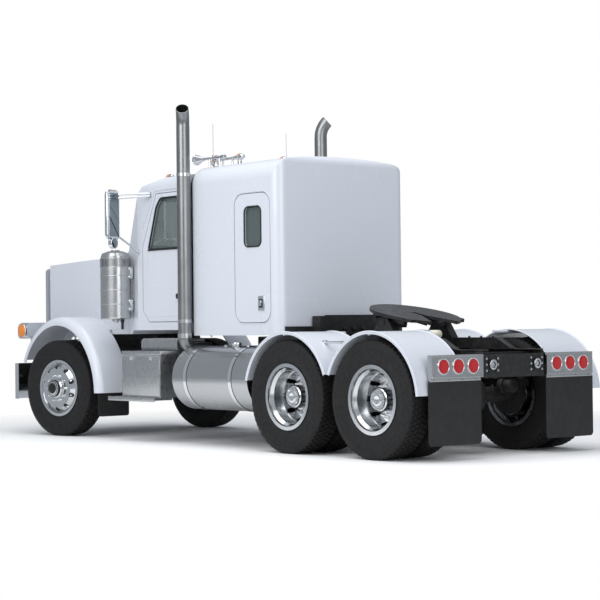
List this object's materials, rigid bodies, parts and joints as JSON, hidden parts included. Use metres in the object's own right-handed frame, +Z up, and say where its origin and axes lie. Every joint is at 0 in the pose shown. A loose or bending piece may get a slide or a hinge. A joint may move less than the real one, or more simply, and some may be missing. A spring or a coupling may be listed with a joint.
{
  "type": "semi truck tractor unit",
  "caption": "Long-nose highway tractor unit with tilting hood, flat-top sleeper, twin stacks, tandem drive axles with dual wheels and a tilting fifth wheel.",
  "frame": {"origin": "on the ground under the middle of the vehicle", "axes": "front of the vehicle faces -Y, its left (driver) side faces +X, +Z is up"},
  "size_m": [2.7194, 7.14, 3.6104],
  "materials": {
    "white_paint": "gloss",
    "frame_paint": "satin",
    "axle_paint": "satin",
    "tyre": "matte",
    "alloy": "polished",
    "tank_alloy": "brushed",
    "tread_plate": "embossed",
    "chrome": "mirror",
    "stainless": "polished",
    "glass": "clear",
    "interior": "matte",
    "black_plastic": "matte",
    "fabric": "woven",
    "rubber_flap": "matte",
    "red_lens": "gloss",
    "amber_lens": "gloss",
    "lamp_body": "mirror",
    "greased_iron": "worn"
  },
  "bodies": {
    "chassis": {"chassis_frame": "frame_paint", "rear_crossmember": "frame_paint", "front_axle": "axle_paint", "drive_axles": "axle_paint", "front_springs": "frame_paint", "rear_suspension": "frame_paint", "driveline": "axle_paint", "engine_block": "axle_paint", "radiator": "black_plastic", "bumper": "chrome", "cab_shell": "white_paint", "windshield": "glass", "seats_and_bunk": "fabric", "dashboard": "interior", "steering_wheel": "black_plastic", "sleeper_shell": "white_paint", "cab_boot": "rubber_flap", "rear_deck": "frame_paint", "air_cleaners": "stainless", "mirrors": "chrome", "exhaust_stacks": "chrome", "fuel_tanks": "tank_alloy", "tool_boxes": "tread_plate", "side_steps": "tread_plate", "rear_fenders": "white_paint", "light_bars": "stainless", "tail_lamps": "red_lens", "mudflaps": "rubber_flap", "fifth_wheel_base": "greased_iron", "roof_lamps": "amber_lens", "air_tanks": "frame_paint"},
    "front_wheel_left": {"tyre_front_left": "tyre", "wheel_front_left": "alloy"},
    "front_wheel_right": {"tyre_front_right": "tyre", "wheel_front_right": "alloy"},
    "steer_left": {"knuckle_left": "axle_paint"},
    "steer_right": {"knuckle_right": "axle_paint"},
    "drive_wheels_a_left": {"tyres_drive_a_left": "tyre", "wheels_drive_a_left": "alloy"},
    "drive_wheels_a_right": {"tyres_drive_a_right": "tyre", "wheels_drive_a_right": "alloy"},
    "drive_wheels_b_left": {"tyres_drive_b_left": "tyre", "wheels_drive_b_left": "alloy"},
    "drive_wheels_b_right": {"tyres_drive_b_right": "tyre", "wheels_drive_b_right": "alloy"},
    "hood": {"hood": "white_paint", "front_fenders": "white_paint", "grille": "chrome", "headlights": "lamp_body"},
    "door_left": {"door_left": "white_paint", "door_glass_left": "glass"},
    "door_right": {"door_right": "white_paint", "door_glass_right": "glass"},
    "sleeper_door_left": {"sleeper_door_left": "white_paint", "sleeper_glass_left": "glass"},
    "sleeper_door_right": {"sleeper_door_right": "white_paint", "sleeper_glass_right": "glass"},
    "fifth_wheel": {"fifth_wheel_plate": "greased_iron"}
  },
  "joints": [
    {"name": "steering_left", "type": "hinge", "parent": "chassis", "child": "steer_left", "pos_m": [0.88, -2.585, 0.55], "axis": [0, 0, 1], "range_deg": [-41, 23]},
    {"name": "steering_right", "type": "hinge", "parent": "chassis", "child": "steer_right", "pos_m": [-0.88, -2.585, 0.55], "axis": [0, 0, 1], "range_deg": [-41, 23]},
    {"name": "front_wheel_left_spin", "type": "hinge", "parent": "steer_left", "child": "front_wheel_left", "pos_m": [1.04791, -2.55841, 0.55], "axis": [0.9877, 0.1564, 0], "continuous": true},
    {"name": "front_wheel_right_spin", "type": "hinge", "parent": "steer_right", "child": "front_wheel_right", "pos_m": [-1.04791, -2.61159, 0.55], "axis": [0.9877, 0.1564, 0], "continuous": true},
    {"name": "drive_wheels_a_left_spin", "type": "hinge", "parent": "chassis", "child": "drive_wheels_a_left", "pos_m": [0.921, 1.646, 0.55], "axis": [1, 0, 0], "continuous": true},
    {"name": "drive_wheels_a_right_spin", "type": "hinge", "parent": "chassis", "child": "drive_wheels_a_right", "pos_m": [-0.921, 1.646, 0.55], "axis": [1, 0, 0], "continuous": true},
    {"name": "drive_wheels_b_left_spin", "type": "hinge", "parent": "chassis", "child": "drive_wheels_b_left", "pos_m": [0.921, 2.865, 0.55], "axis": [1, 0, 0], "continuous": true},
    {"name": "drive_wheels_b_right_spin", "type": "hinge", "parent": "chassis", "child": "drive_wheels_b_right", "pos_m": [-0.921, 2.865, 0.55], "axis": [1, 0, 0], "continuous": true},
    {"name": "hood_tilt", "type": "hinge", "parent": "chassis", "child": "hood", "pos_m": [0, -3.42, 0.7], "axis": [1, 0, 0], "range_deg": [0, 60]},
    {"name": "door_left_open", "type": "hinge", "parent": "chassis", "child": "door_left", "pos_m": [0.882, -1.234, 1.7], "axis": [0, 0, -1], "range_deg": [0, 60]},
    {"name": "door_right_open", "type": "hinge", "parent": "chassis", "child": "door_right", "pos_m": [-0.882, -1.234, 1.7], "axis": [0, 0, 1], "range_deg": [0, 60]},
    {"name": "sleeper_door_left_open", "type": "hinge", "parent": "chassis", "child": "sleeper_door_left", "pos_m": [0.882, 0.427, 1.9], "axis": [0, 0, -1], "range_deg": [0, 95]},
    {"name": "sleeper_door_right_open", "type": "hinge", "parent": "chassis", "child": "sleeper_door_right", "pos_m": [-0.882, 0.427, 1.9], "axis": [0, 0, 1], "range_deg": [0, 95]},
    {"name": "fifth_wheel_tilt", "type": "hinge", "parent": "chassis", "child": "fifth_wheel", "pos_m": [0, 2.18, 1.262], "axis": [1, 0, 0], "range_deg": [-4, 22]}
  ],
  "couplings": [
    {"joint": "steering_right", "follows": "steering_left", "ratio": 1}
  ]
}
